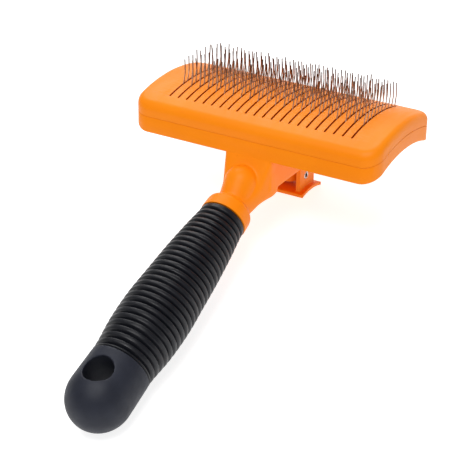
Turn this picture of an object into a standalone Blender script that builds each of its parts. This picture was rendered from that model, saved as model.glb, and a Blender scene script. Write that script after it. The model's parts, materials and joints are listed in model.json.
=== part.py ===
"""Self-cleaning slicker brush: an arched head of bent wire pins on a ribbed rubber handle.

The thumb button under the head lifts the slotted face plate along the pins, which strips the
hair off them. A spring in the housing under the head brings the plate and the button back.

Every piece is modelled in the head's own axes: the origin is the crown of the arched face,
+X runs along the head, +Y away from the handle and +Z along the pins. The empty brush_stand
then lays the whole brush on its back, on the thumb button and the end of the handle, with
Z = 0 under it and the origin in the middle of its footprint.
"""

import math

import bmesh
import bpy
from mathutils import Matrix, Vector

MM = 0.001
GAP = 0.3 * MM              # room left between pieces that touch or slide

# Head: layers are heights above the crown of the arch, measured along its radius
ARCH_RADIUS = 86.7 * MM
HEAD_HALF_LENGTH = 59.2 * MM
HEAD_FRONT = -28.7 * MM
HEAD_REAR = 29.2 * MM
HEAD_CORNER = 8.0 * MM
HEAD_WALL = 2.0 * MM
EDGE_FILLET = 3.2 * MM
PLATE_THICKNESS = 2.2 * MM
PARTING_HEIGHT = -5.8 * MM
FLOOR_TOP = -10.0 * MM
HEAD_BOTTOM = -13.1 * MM
UNDERSIDE_RISE = 0.9 * MM

# Pins: bent wire, one column of them in every slot
SLOT_COUNT = 22
SLOT_PITCH = 4.2 * MM
SLOT_WIDTH = 0.85 * MM
SLOT_FRONT = -20.8 * MM
SLOT_REAR = 23.7 * MM
PIN_ROWS = 10
PIN_FIRST_ROW = -9.4 * MM
PIN_ROW_PITCH = 3.42 * MM
PIN_WIRE_RADIUS = 0.225 * MM
PIN_LEAN = math.radians(16)
PIN_TOP_LEAN = math.radians(-4)
PIN_LOWER_LENGTH = 5.0 * MM
PIN_UPPER_LENGTH = 7.0 * MM
BRIDGE_HEIGHT = -8.1 * MM

# Pin carrier and its backing sheet, inside the head
CARRIER_HALF_LENGTH = 50.0 * MM
CARRIER_FRONT = -13.0 * MM
CARRIER_REAR = 23.6 * MM
CARRIER_CORNER = 3.0 * MM
CARRIER_TOP = -5.0 * MM
CARRIER_BOTTOM = -7.6 * MM
BACKING_TOP = -8.6 * MM
BACKING_BOTTOM = -9.7 * MM
CARRIER_SCREW_X = 47.6 * MM
CARRIER_SCREW_ROWS = (-8.5 * MM, 19.0 * MM)

# Housing under the head
HOUSING_HALF_WIDTH = 11.3 * MM
HOUSING_REAR = 29.0 * MM
HOUSING_BOTTOM = -32.5 * MM
HOUSING_WALL = 1.4 * MM
COVER_TOP = -30.0 * MM
COVER_BOTTOM = -32.2 * MM
COUNTERBORE_DEPTH = 1.3 * MM
BOSS_ROWS = (-18.0 * MM, 21.2 * MM)
BOSS_X = 7.3 * MM
BOSS_WIDTH = 4.0 * MM

# Lifter: the bar that ties the face plate's two legs to the push stem
LIFT_LEG_HALF_WIDTH = 7.0 * MM
LIFT_LEG_THICKNESS = 2.6 * MM
LIFT_LEG_BOTTOM = -29.6 * MM
BAR_TOP = -25.4 * MM
BAR_BOTTOM = -27.8 * MM
BAR_HALF_WIDTH = 4.8 * MM
STEM_Y = 10.2 * MM
STEM_RADIUS = 4.7 * MM
STEM_BORE = 3.9 * MM
STEM_BORE_BOTTOM = -36.2 * MM
STEM_BOTTOM = -43.0 * MM

# Return spring, inside the stem
SPRING_RADIUS = 3.1 * MM
SPRING_WIRE = 0.4 * MM
SPRING_TURNS = 8
SPRING_SEAT = -14.4 * MM

# Thumb button and the hollow pin through it
BUTTON_HALF_WIDTH = 10.5 * MM
BUTTON_FRONT = 3.1 * MM
BUTTON_REAR = 21.2 * MM
BUTTON_CROWN_Y = 11.5 * MM
BUTTON_CROWN_Z = -46.8 * MM
BUTTON_ARC = 29.0 * MM
BUTTON_THICKNESS = 1.6 * MM
BUTTON_LEG_INNER = 6.3 * MM
BUTTON_LEG_OUTER = 8.4 * MM
BUTTON_LEG_FRONT = 4.2 * MM
BUTTON_LEG_REAR = 18.0 * MM
BUTTON_LEG_TOP = -29.6 * MM
CROSS_PIN_Z = -39.7 * MM
CROSS_PIN_RADIUS = 1.8 * MM
CROSS_PIN_BORE = 1.05 * MM
CROSS_PIN_HALF_LENGTH = 8.5 * MM

# Handle: distances along its axis from the collar's end face
HANDLE_START = Vector((0.0, -49.26 * MM, -39.4 * MM))
HANDLE_TILT = math.radians(22.1)
COLLAR_RADIUS = 10.5 * MM
WAIST_PLACE = -8.0 * MM
WAIST_RADIUS = 7.4 * MM
BALL_CENTRE = Vector((0.0, -34.2 * MM, -27.8 * MM))
BALL_RADIUS = 7.3 * MM
ROOT_RADIUS = 6.6 * MM
TANG_RADIUS = 6.4 * MM
TANG_LENGTH = 84.0 * MM
RIBBED_LENGTH = 82.4 * MM
GRIP_RADII = tuple(r * MM for r in (10.2, 11.8, 13.1, 14.0, 14.8, 14.5, 13.15))
GRIP_LENGTH = 113.6 * MM
GRIP_END_RADIUS = 13.5 * MM
GRIP_END_LENGTH = 14.3 * MM
HANG_HOLE_RADIUS = 6.1 * MM
HANG_HOLE_PLACE = 95.0 * MM

# Mesh steps
CORNER_STEPS = 4
ROW_STEP = 6.0 * MM
INNER_ROW_STEP = 9.0 * MM
ROUND_STEPS = 24
SCREW_STEPS = 8

ORANGE = (0.93, 0.24, 0.012, 1.0)


# ---------------------------------------------------------------- helpers

def clear_scene():
    for obj in list(bpy.data.objects):
        bpy.data.objects.remove(obj, do_unlink=True)


def make_material(name, colour, roughness, metallic=0.0):
    material = bpy.data.materials.new(name)
    material.use_nodes = True
    shader = material.node_tree.nodes["Principled BSDF"]
    shader.inputs["Base Color"].default_value = colour
    shader.inputs["Roughness"].default_value = roughness
    shader.inputs["Metallic"].default_value = metallic
    return material


def add_object(name, mesh_builder, stand, material=None, round_shape=False):
    """Turns a bmesh into an object on the stand, with its faces pointing out."""
    bmesh.ops.recalc_face_normals(mesh_builder, faces=mesh_builder.faces)
    mesh = bpy.data.meshes.new(name)
    mesh_builder.to_mesh(mesh)
    mesh_builder.free()
    if round_shape:
        mesh.shade_smooth()
        mesh.set_sharp_from_angle(angle=math.radians(35))
    obj = bpy.data.objects.new(name, mesh)
    bpy.context.scene.collection.objects.link(obj)
    obj.parent = stand
    if material:
        mesh.materials.append(material)
    return obj


def add_guide(name, mesh_builder, stand):
    """An operand of a Boolean, which is not a piece of the brush."""
    guide = add_object(name, mesh_builder, stand)
    guide.hide_render = True
    guide.display_type = "WIRE"
    return guide


def add_boolean(obj, guide, operation):
    modifier = obj.modifiers.new(operation.lower() + "_" + guide.name, "BOOLEAN")
    modifier.operation = operation
    modifier.solver = "EXACT"
    modifier.object = guide


def join(obj, guide):
    add_boolean(obj, guide, "UNION")


def cut(obj, guide):
    add_boolean(obj, guide, "DIFFERENCE")


def add_box(builder, x_range, y_range, z_range):
    corners = [
        builder.verts.new((x, y, z)) for z in z_range for y in y_range for x in x_range
    ]
    for face in ((0, 1, 3, 2), (4, 6, 7, 5), (0, 4, 5, 1), (2, 3, 7, 6), (0, 2, 6, 4), (1, 5, 7, 3)):
        builder.faces.new([corners[i] for i in face])


def boxes(*ranges):
    builder = bmesh.new()
    for x_range, y_range, z_range in ranges:
        add_box(builder, x_range, y_range, z_range)
    return builder


def mirrored_boxes(x_range, y_range, z_range):
    """The same box on both sides of the brush."""
    left = (-x_range[1], -x_range[0])
    return boxes((x_range, y_range, z_range), (left, y_range, z_range))


def add_turned(builder, profile, axes, steps):
    """A closed solid of revolution: profile is (place along the axis, radius) from end to end."""
    rings = []
    for place, radius in profile:
        if radius == 0.0:
            rings.append([builder.verts.new(axes @ Vector((0.0, 0.0, place)))])
            continue
        ring = []
        for i in range(steps):
            angle = math.tau * i / steps
            ring.append(builder.verts.new(
                axes @ Vector((radius * math.cos(angle), radius * math.sin(angle), place))))
        rings.append(ring)
    bridge_rings(builder, rings)


def bridge_rings(builder, rings):
    for first, second in zip(rings, rings[1:]):
        steps = max(len(first), len(second))
        for i in range(steps):
            corners = [first[i % len(first)], first[(i + 1) % len(first)],
                       second[(i + 1) % len(second)], second[i % len(second)]]
            builder.faces.new(list(dict.fromkeys(corners)))


def turned(profile, axes, steps=ROUND_STEPS):
    builder = bmesh.new()
    add_turned(builder, profile, axes, steps)
    return builder


def add_tube(builder, outer, bore, ends, axes, steps):
    """A tube along the axes' Z, open at both ends."""
    rings = []
    for place, radius in ((ends[0], bore), (ends[0], outer), (ends[1], outer), (ends[1], bore)):
        rings.append([
            builder.verts.new(axes @ Vector((radius * math.cos(math.tau * i / steps),
                                             radius * math.sin(math.tau * i / steps), place)))
            for i in range(steps)])
    bridge_rings(builder, rings + rings[:1])


def rod(radius, z_range):
    """Profile of a plain cylinder."""
    return [(z_range[0], 0.0), (z_range[0], radius), (z_range[1], radius), (z_range[1], 0.0)]


def upright(x, y):
    """Axes of a turned shape whose axis is parallel to the pins."""
    return Matrix.Translation((x, y, 0.0))


def across(y, z):
    """Axes of a turned shape whose axis is parallel to the head's length."""
    return Matrix.Translation((0.0, y, z)) @ Matrix.Rotation(math.pi / 2, 4, "Y")


def handle_axes():
    """Z runs down the handle from the end face of the collar."""
    return Matrix.Translation(HANDLE_START) @ Matrix.Rotation(math.pi / 2 + HANDLE_TILT, 4, "X")


# ---------------------------------------------------------------- arched layers

def arch_z(y, height):
    return math.sqrt((ARCH_RADIUS + height) ** 2 - y * y) - ARCH_RADIUS


def arched(height):
    return lambda y: arch_z(y, height)


def underside(height):
    """The arch of the head's underside, hollowed a little in the middle."""
    return lambda y: arch_z(y, height) + UNDERSIDE_RISE * (1.0 - (y / HEAD_REAR) ** 4)


def flat(z):
    return lambda y: z


def side_points(outline, inset, row_step):
    """Right-hand side of a rounded rectangle, from its front to its rear, as (x, y)."""
    half_length, front, rear, corner = outline
    radius = corner - inset
    centre_x = half_length - corner
    points = []
    for centre_y, start in ((front + corner, -90.0), (rear - corner, 0.0)):
        for i in range(CORNER_STEPS + 1):
            angle = math.radians(start + 90.0 * i / CORNER_STEPS)
            points.append((centre_x + radius * math.cos(angle),
                           centre_y + radius * math.sin(angle)))
        if start < 0.0:
            span = rear - front - 2.0 * corner
            rows = max(1, round(span / row_step))
            points += [(half_length - inset, front + corner + span * i / rows)
                       for i in range(1, rows)]
    return points


def layered(outline, levels, row_step=ROW_STEP):
    """A solid stacked from rounded rectangles: levels are (inset, surface), first cap to last."""
    builder = bmesh.new()
    rings = []
    for inset, surface in levels:
        side = side_points(outline, inset, row_step)
        rings.append([[builder.verts.new((sign * x, y, surface(y))) for x, y in side]
                      for sign in (1.0, -1.0)])
    for right, left in (rings[0], rings[-1]):
        for i in range(len(right) - 1):
            builder.faces.new((right[i], right[i + 1], left[i + 1], left[i]))
    for lower, upper in zip(rings, rings[1:]):
        for below, above in zip(lower, upper):
            for i in range(len(below) - 1):
                builder.faces.new((below[i], below[i + 1], above[i + 1], above[i]))
        for i in (0, -1):
            builder.faces.new((lower[0][i], lower[1][i], upper[1][i], upper[0][i]))
    return builder


def fillet_levels(radius, top, steps):
    """Levels of a rounded edge that ends on the layer at height top."""
    levels = []
    for i in range(steps + 1):
        angle = math.pi / 2 * i / steps
        levels.append((radius * (1.0 - math.cos(angle)),
                       arched(top - radius * (1.0 - math.sin(angle)))))
    return levels


def head_outline():
    return HEAD_HALF_LENGTH, HEAD_FRONT, HEAD_REAR, HEAD_CORNER


def column_x(column):
    return (column - (SLOT_COUNT - 1) / 2) * SLOT_PITCH


def column_boxes(front, rear, z_range):
    """One slot-wide box for every column of pins."""
    half = SLOT_WIDTH / 2
    return boxes(*[((column_x(i) - half, column_x(i) + half), (front, rear), z_range)
                   for i in range(SLOT_COUNT)])


# ---------------------------------------------------------------- back shell

def neck_rings():
    """Sections of the neck, each as top point, bottom point, half width and squareness."""
    waist = handle_axes() @ Vector((0.0, 0.0, WAIST_PLACE))
    up = handle_up()
    return (
        (Vector((0, -27.4, -15.0)) * MM, Vector((0, -21.0, -35.6)) * MM, 11.3 * MM, 9.0),
        (Vector((0, -28.8, -18.0)) * MM, Vector((0, -24.5, -36.2)) * MM, 11.3 * MM, 9.0),
        (Vector((0, -31.4, -22.4)) * MM, Vector((0, -29.0, -37.0)) * MM, 10.3 * MM, 6.0),
        (Vector((0, -34.2, -26.6)) * MM, Vector((0, -33.0, -38.6)) * MM, 9.2 * MM, 3.6),
        (Vector((0, -38.8, -28.9)) * MM, Vector((0, -36.6, -41.4)) * MM, 8.1 * MM, 2.5),
        (waist + up * WAIST_RADIUS, waist - up * WAIST_RADIUS, WAIST_RADIUS, 2.0),
    )


def handle_up():
    """Unit vector square to the handle's axis, on the pins' side."""
    return Vector((0.0, -math.sin(HANDLE_TILT), math.cos(HANDLE_TILT)))


def neck():
    builder = bmesh.new()
    rings = []
    for top, bottom, half_width, squareness in neck_rings():
        centre, up = (top + bottom) / 2, (top - bottom) / 2
        ring = []
        for i in range(ROUND_STEPS):
            angle = math.tau * (i + 0.5) / ROUND_STEPS
            side, rise = math.cos(angle), math.sin(angle)
            x = math.copysign(abs(side) ** (2 / squareness), side) * half_width
            lift = math.copysign(abs(rise) ** (2 / squareness), rise)
            ring.append(builder.verts.new(centre + up * lift + Vector((x, 0.0, 0.0))))
        rings.append(ring)
    bridge_rings(builder, rings)
    for ring in (rings[0], rings[-1]):
        builder.faces.new(ring)
    return builder


def collar_and_tang():
    flare = [(-9.5, 0.0), (-9.5, 7.2), (-8.3, 7.7), (-7.3, 8.7), (-6.5, 9.6), (-5.6, 10.2),
             (-3.0, 10.4), (-0.4, 10.5)]
    profile = [(place * MM, radius * MM) for place, radius in flare]
    profile += [(0.0, COLLAR_RADIUS - 0.1 * MM), (0.0, TANG_RADIUS),
                (TANG_LENGTH, TANG_RADIUS), (TANG_LENGTH, 0.0)]
    return turned(profile, handle_axes())


def ball():
    """Ball on the neck, drawn out to a root that runs into the collar."""
    waist = handle_axes() @ Vector((0.0, 0.0, WAIST_PLACE))
    span = waist - BALL_CENTRE
    axes = Matrix.Translation(BALL_CENTRE) @ span.to_track_quat("Z", "Y").to_matrix().to_4x4()
    profile = [(-BALL_RADIUS, 0.0)]
    for i in range(1, 7):
        angle = math.pi / 2 * i / 6
        profile.append((-BALL_RADIUS * math.cos(angle), BALL_RADIUS * math.sin(angle)))
    return turned(profile + [(span.length, ROOT_RADIUS), (span.length, 0.0)], axes)


def add_back_shell(stand, material):
    """Tray of the head, housing, neck, collar and handle tang, moulded in one."""
    wall = HEAD_WALL
    rim = PARTING_HEIGHT - GAP / 2
    tray = layered(head_outline(), [
        (1.0 * MM, underside(HEAD_BOTTOM)), (0.0, underside(HEAD_BOTTOM + 0.8 * MM)),
        (0.0, arched(rim)), (wall, arched(rim)), (wall, arched(FLOOR_TOP))])
    shell = add_object("back_shell", tray, stand, material, round_shape=True)
    in_floor = HEAD_BOTTOM + 1.1 * MM
    housing = layered((HOUSING_HALF_WIDTH, HEAD_FRONT, HOUSING_REAR, 1.2 * MM), [
        (1.0 * MM, flat(HOUSING_BOTTOM)), (0.0, flat(HOUSING_BOTTOM + 1.0 * MM)),
        (0.0, arched(in_floor))])
    join(shell, add_guide("housing_block", housing, stand))
    join(shell, add_guide("neck_block", neck(), stand))
    join(shell, add_guide("neck_ball", ball(), stand))
    join(shell, add_guide("collar_block", collar_and_tang(), stand))
    inner = HOUSING_HALF_WIDTH - HOUSING_WALL
    cavity = layered((inner, HEAD_FRONT + wall, HOUSING_REAR - HOUSING_WALL, 1.0 * MM), [
        (0.0, flat(HOUSING_BOTTOM - 0.5 * MM)), (0.0, arched(HEAD_BOTTOM + UNDERSIDE_RISE))])
    cut(shell, add_guide("housing_cavity", cavity, stand))
    join(shell, add_guide("cover_bosses", cover_bosses(), stand))
    seat = turned([(SPRING_SEAT - 3.5 * MM, 0.0), (SPRING_SEAT - 3.5 * MM, 2.0 * MM),
                   (SPRING_SEAT, 2.2 * MM), (SPRING_SEAT, 4.6 * MM),
                   (-12.0 * MM, 4.6 * MM), (-12.0 * MM, 0.0)], upright(0.0, STEM_Y))
    join(shell, add_guide("spring_seat", seat, stand))
    openings = boxes(
        ((-7.6 * MM, 7.6 * MM), (HEAD_FRONT + wall + 0.1 * MM, -20.0 * MM), (-22.0 * MM, -8.0 * MM)),
        ((-7.6 * MM, 7.6 * MM), (20.0 * MM, HEAD_REAR - wall - 0.1 * MM), (-22.0 * MM, -8.0 * MM)))
    cut(shell, add_guide("leg_openings", openings, stand))
    cut(shell, add_guide("screw_holes_in_shell", screw_holes(), stand))


def cover_bosses():
    builder = bmesh.new()
    outer = HOUSING_HALF_WIDTH - 1.0 * MM
    for y in BOSS_ROWS:
        y_range = (y - BOSS_WIDTH / 2, y + BOSS_WIDTH / 2)
        z_range = (COVER_TOP + GAP, arch_z(y, HEAD_BOTTOM + 1.1 * MM))
        for x_range in ((BOSS_X - 1.9 * MM, outer), (-outer, 1.9 * MM - BOSS_X)):
            add_box(builder, x_range, y_range, z_range)
    return builder


def screw_holes():
    """Blind holes for the carrier's and the cover's screws."""
    builder = bmesh.new()
    for x, y in carrier_screw_places():
        top = arch_z(y, FLOOR_TOP) + 1.0 * MM
        add_turned(builder, rod(1.3 * MM, (arch_z(y, FLOOR_TOP) - 1.5 * MM, top)),
                   upright(x, y), SCREW_STEPS)
    for x, y in cover_screw_places():
        add_turned(builder, rod(1.1 * MM, (COVER_TOP - 1.0 * MM, COVER_TOP + 6.5 * MM)),
                   upright(x, y), SCREW_STEPS)
    return builder


def carrier_screw_places():
    return [(x, y) for y in CARRIER_SCREW_ROWS for x in (-CARRIER_SCREW_X, CARRIER_SCREW_X)]


def cover_screw_places():
    return [(x, y) for y in BOSS_ROWS for x in (-BOSS_X, BOSS_X)]


# ---------------------------------------------------------------- face plate

def lift_leg_rows():
    """Front and rear faces of the face plate's two legs."""
    front = HEAD_FRONT + HEAD_WALL + GAP
    rear = HEAD_REAR - HEAD_WALL - GAP
    return (front, front + LIFT_LEG_THICKNESS), (rear - LIFT_LEG_THICKNESS, rear)


def add_face_plate(stand, material):
    """Slotted plate with a skirt all round and two legs that hang into the housing."""
    wall = HEAD_WALL
    levels = [(wall, arched(-PLATE_THICKNESS)), (wall, arched(PARTING_HEIGHT + GAP / 2)),
              (0.0, arched(PARTING_HEIGHT + GAP / 2))]
    levels += fillet_levels(EDGE_FILLET, 0.0, 4)
    plate = add_object("face_plate", layered(head_outline(), levels), stand, material, round_shape=True)
    half = LIFT_LEG_HALF_WIDTH
    legs = boxes(*[((-half, half), y_range, (LIFT_LEG_BOTTOM, -5.0 * MM)) for y_range in lift_leg_rows()])
    join(plate, add_guide("plate_legs", legs, stand))
    window = BAR_HALF_WIDTH + GAP
    windows = boxes(*[((-window, window), (y_range[0] - 1.0 * MM, y_range[1] + 1.0 * MM),
                       (BAR_BOTTOM - GAP, BAR_TOP + GAP)) for y_range in lift_leg_rows()])
    cut(plate, add_guide("leg_windows", windows, stand))
    cut(plate, add_guide("face_slots", column_boxes(SLOT_FRONT, SLOT_REAR, (-7.0 * MM, 2.0 * MM)), stand))


# ---------------------------------------------------------------- pins and their carrier

def carrier_outline():
    return CARRIER_HALF_LENGTH, CARRIER_FRONT, CARRIER_REAR, CARRIER_CORNER


def screw_clearance(height_range):
    builder = bmesh.new()
    for x, y in carrier_screw_places():
        z_range = (arch_z(y, height_range[0]) - 2.0 * MM, arch_z(y, height_range[1]) + 2.0 * MM)
        add_turned(builder, rod(1.3 * MM, z_range), upright(x, y), SCREW_STEPS)
    return builder


def add_pin_carrier(stand, material):
    """Plate that the pins are pushed through from behind."""
    carrier = add_object("pin_carrier", layered(carrier_outline(), [
        (0.0, arched(CARRIER_BOTTOM)), (0.0, arched(CARRIER_TOP))], INNER_ROW_STEP),
        stand, material, round_shape=True)
    lean = CARRIER_BOTTOM * math.tan(PIN_LEAN)
    last = PIN_FIRST_ROW + PIN_ROW_PITCH * (PIN_ROWS - 1)
    slots = column_boxes(PIN_FIRST_ROW + lean - SLOT_WIDTH, last + SLOT_WIDTH / 2,
                         (-15.0 * MM, -3.0 * MM))
    cut(carrier, add_guide("carrier_slots", slots, stand))
    cut(carrier, add_guide("carrier_holes", screw_clearance((CARRIER_BOTTOM, CARRIER_TOP)), stand))


def add_pin_backing(stand, material):
    """Sheet behind the pins that keeps them from backing out."""
    backing = add_object("pin_backing", layered(carrier_outline(), [
        (0.0, arched(BACKING_BOTTOM)), (0.0, arched(BACKING_TOP))], INNER_ROW_STEP),
        stand, material, round_shape=True)
    cut(backing, add_guide("backing_holes", screw_clearance((BACKING_BOTTOM, BACKING_TOP)), stand))


def pin_rings(x, y):
    """Two sections of one pin, at its knee and its tip, each as four corners round the wire."""
    knee_z = arch_z(y, 0.0) + PIN_LOWER_LENGTH
    sections = ((y + PIN_LOWER_LENGTH * math.tan(PIN_LEAN), knee_z),
                (y + PIN_LOWER_LENGTH * math.tan(PIN_LEAN) + PIN_UPPER_LENGTH * math.sin(PIN_TOP_LEAN),
                 knee_z + PIN_UPPER_LENGTH))
    r = PIN_WIRE_RADIUS
    return [[(x - r, py - r, pz), (x + r, py - r, pz), (x + r, py + r, pz), (x - r, py + r, pz)]
            for py, pz in sections]


def pin_comb(x):
    """One slot's pins: legs bent towards the rear and back up at a knee, on a strip behind the carrier."""
    builder = bmesh.new()
    r = PIN_WIRE_RADIUS
    strip = []
    for row in range(PIN_ROWS):
        base = PIN_FIRST_ROW + PIN_ROW_PITCH * row
        foot = base + (arch_z(base, BRIDGE_HEIGHT) - arch_z(base, 0.0)) * math.tan(PIN_LEAN)
        section = []
        for y in (foot - r, foot + r):
            z = arch_z(y, BRIDGE_HEIGHT)
            section.append([builder.verts.new(corner) for corner in
                            ((x - r, y, z - r), (x + r, y, z - r), (x + r, y, z + r), (x - r, y, z + r))])
        strip += section
        front, rear = section
        ring = [front[3], front[2], rear[2], rear[3]]
        for corners in pin_rings(x, base):
            upper = [builder.verts.new(corner) for corner in corners]
            bridge_rings(builder, [ring, upper])
            ring = upper
        builder.faces.new(ring)
    for i, (front, rear) in enumerate(zip(strip, strip[1:])):
        under_pin = i % 2 == 0
        for side in range(4):
            if side == 2 and under_pin:
                continue
            after = (side + 1) % 4
            builder.faces.new((front[side], front[after], rear[after], rear[side]))
    for ring in (strip[0], strip[-1]):
        builder.faces.new(ring)
    return builder


def add_pin_columns(stand, material):
    for column in range(SLOT_COUNT):
        add_object(f"pin_column_{column + 1:02d}", pin_comb(column_x(column)), stand, material)


# ---------------------------------------------------------------- screws

def screw_profile(seat, shaft_end, shaft_radius, head_radius, head_top):
    """A cheese-headed screw as (height, radius), from the end of its shaft to the top of its head."""
    return [(shaft_end, 0.0), (shaft_end, shaft_radius), (seat, shaft_radius),
            (seat, head_radius), (head_top, head_radius), (head_top, 0.0)]


def add_screws(stand, material):
    for number, (x, y) in enumerate(carrier_screw_places(), 1):
        seat = arch_z(abs(y) - 2.0 * MM, CARRIER_TOP) + GAP
        profile = screw_profile(seat, arch_z(y, FLOOR_TOP) - 1.2 * MM, 1.0 * MM, 1.9 * MM, seat + 1.1 * MM)
        screw = turned(profile, upright(x, y), SCREW_STEPS)
        add_object(f"carrier_screw_{number}", screw, stand, material, round_shape=True)
    for number, (x, y) in enumerate(cover_screw_places(), 1):
        seat = COVER_BOTTOM + COUNTERBORE_DEPTH - GAP
        profile = screw_profile(seat, COVER_TOP + 6.2 * MM, 0.8 * MM, 1.4 * MM, seat - 1.0 * MM)
        screw = turned(profile, upright(x, y), SCREW_STEPS)
        add_object(f"cover_screw_{number}", screw, stand, material, round_shape=True)


# ---------------------------------------------------------------- housing cover

def add_housing_cover(stand, material):
    """Bottom of the housing, open where the stem and the button's legs pass."""
    inner = HOUSING_HALF_WIDTH - HOUSING_WALL - GAP
    outline = (inner, HEAD_FRONT + HEAD_WALL + GAP, HOUSING_REAR - HOUSING_WALL - GAP, 0.8 * MM)
    cover = add_object("housing_cover", layered(outline, [
        (0.0, flat(COVER_BOTTOM)), (0.0, flat(COVER_TOP))]), stand, material)
    z_range = (COVER_BOTTOM - 1.0 * MM, COVER_TOP + 1.0 * MM)
    windows = mirrored_boxes((BUTTON_LEG_INNER - GAP, BUTTON_LEG_OUTER + GAP),
                             (BUTTON_LEG_FRONT - GAP, BUTTON_LEG_REAR + GAP), z_range)
    cut(cover, add_guide("button_leg_windows", windows, stand))
    slot_half = CROSS_PIN_HALF_LENGTH + GAP
    slot_reach = CROSS_PIN_RADIUS + GAP
    pin_slot = boxes(((-slot_half, slot_half), (STEM_Y - slot_reach, STEM_Y + slot_reach), z_range))
    cut(cover, add_guide("cross_pin_slot", pin_slot, stand))
    stem_hole = turned(rod(STEM_RADIUS + GAP, z_range), upright(0.0, STEM_Y))
    cut(cover, add_guide("stem_hole", stem_hole, stand))
    builder = bmesh.new()
    step = COVER_BOTTOM + COUNTERBORE_DEPTH
    for x, y in cover_screw_places():
        add_turned(builder, [(z_range[0], 0.0), (z_range[0], 1.7 * MM), (step, 1.7 * MM),
                             (step, 1.1 * MM), (z_range[1], 1.1 * MM), (z_range[1], 0.0)],
                   upright(x, y), SCREW_STEPS)
    cut(cover, add_guide("cover_screw_holes", builder, stand))


# ---------------------------------------------------------------- lifter, spring and button

def add_lifter(stand, material):
    """Bar through the face plate's legs, with the hollow push stem below it."""
    (front, _), (_, rear) = lift_leg_rows()
    bar = boxes(((-BAR_HALF_WIDTH, BAR_HALF_WIDTH), (front + GAP, rear - GAP), (BAR_BOTTOM, BAR_TOP)))
    lifter = add_object("lifter", bar, stand, material, round_shape=True)
    stem = turned(rod(STEM_RADIUS, (STEM_BOTTOM, BAR_TOP - 0.2 * MM)), upright(0.0, STEM_Y))
    join(lifter, add_guide("push_stem", stem, stand))
    bore = turned(rod(STEM_BORE, (STEM_BORE_BOTTOM, BAR_TOP + 1.0 * MM)), upright(0.0, STEM_Y))
    cut(lifter, add_guide("stem_bore", bore, stand))
    cut(lifter, add_guide("stem_pin_hole", cross_hole(), stand))


def cross_hole():
    return turned(rod(CROSS_PIN_RADIUS + GAP, (-12.0 * MM, 12.0 * MM)), across(STEM_Y, CROSS_PIN_Z), 16)


def add_return_spring(stand, material):
    """Coil spring between the head's floor and the bottom of the stem's bore."""
    curve = bpy.data.curves.new("return_spring", "CURVE")
    curve.dimensions = "3D"
    curve.bevel_depth = SPRING_WIRE
    curve.bevel_resolution = 0
    curve.use_fill_caps = True
    top = SPRING_SEAT - SPRING_WIRE - GAP
    bottom = STEM_BORE_BOTTOM + SPRING_WIRE + GAP
    per_turn = 10
    count = SPRING_TURNS * per_turn
    spline = curve.splines.new("POLY")
    spline.points.add(count)
    for i, point in enumerate(spline.points):
        angle = math.tau * i / per_turn
        z = bottom + (top - bottom) * i / count
        point.co = (SPRING_RADIUS * math.cos(angle), STEM_Y + SPRING_RADIUS * math.sin(angle), z, 1.0)
    curve.materials.append(material)
    spring = bpy.data.objects.new("return_spring", curve)
    bpy.context.scene.collection.objects.link(spring)
    spring.parent = stand


def thumb_plate():
    """Curved plate under the thumb: two arcs about one centre, drawn out across the head."""
    centre_z = BUTTON_CROWN_Z - BUTTON_ARC
    rows = 6
    builder = bmesh.new()
    rings = []
    for i in range(rows + 1):
        y = BUTTON_FRONT + (BUTTON_REAR - BUTTON_FRONT) * i / rows
        heights = [centre_z + math.sqrt(radius ** 2 - (y - BUTTON_CROWN_Y) ** 2)
                   for radius in (BUTTON_ARC, BUTTON_ARC + BUTTON_THICKNESS)]
        rings.append([builder.verts.new((x, y, z))
                      for x, z in ((-BUTTON_HALF_WIDTH, heights[0]), (BUTTON_HALF_WIDTH, heights[0]),
                                   (BUTTON_HALF_WIDTH, heights[1]), (-BUTTON_HALF_WIDTH, heights[1]))])
    bridge_rings(builder, rings)
    for ring in (rings[0], rings[-1]):
        builder.faces.new(ring)
    return builder


def add_thumb_button(stand, material):
    button = add_object("thumb_button", thumb_plate(), stand, material, round_shape=True)
    legs = mirrored_boxes((BUTTON_LEG_INNER, BUTTON_LEG_OUTER), (BUTTON_LEG_FRONT, BUTTON_LEG_REAR),
                          (BUTTON_CROWN_Z + 0.6 * MM, BUTTON_LEG_TOP))
    join(button, add_guide("button_legs", legs, stand))
    cut(button, add_guide("button_pin_hole", cross_hole(), stand))


def add_cross_pin(stand, material):
    builder = bmesh.new()
    add_tube(builder, CROSS_PIN_RADIUS, CROSS_PIN_BORE, (-CROSS_PIN_HALF_LENGTH, CROSS_PIN_HALF_LENGTH),
             across(STEM_Y, CROSS_PIN_Z), 16)
    add_object("cross_pin", builder, stand, material, round_shape=True)


# ---------------------------------------------------------------- grip

def grip_radius(place):
    """Outer radius of the ribbed part, on straight runs between its stations."""
    position = min(max(place / RIBBED_LENGTH, 0.0), 1.0) * (len(GRIP_RADII) - 1)
    i = min(int(position), len(GRIP_RADII) - 2)
    return GRIP_RADII[i] + (GRIP_RADII[i + 1] - GRIP_RADII[i]) * (position - i)


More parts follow.
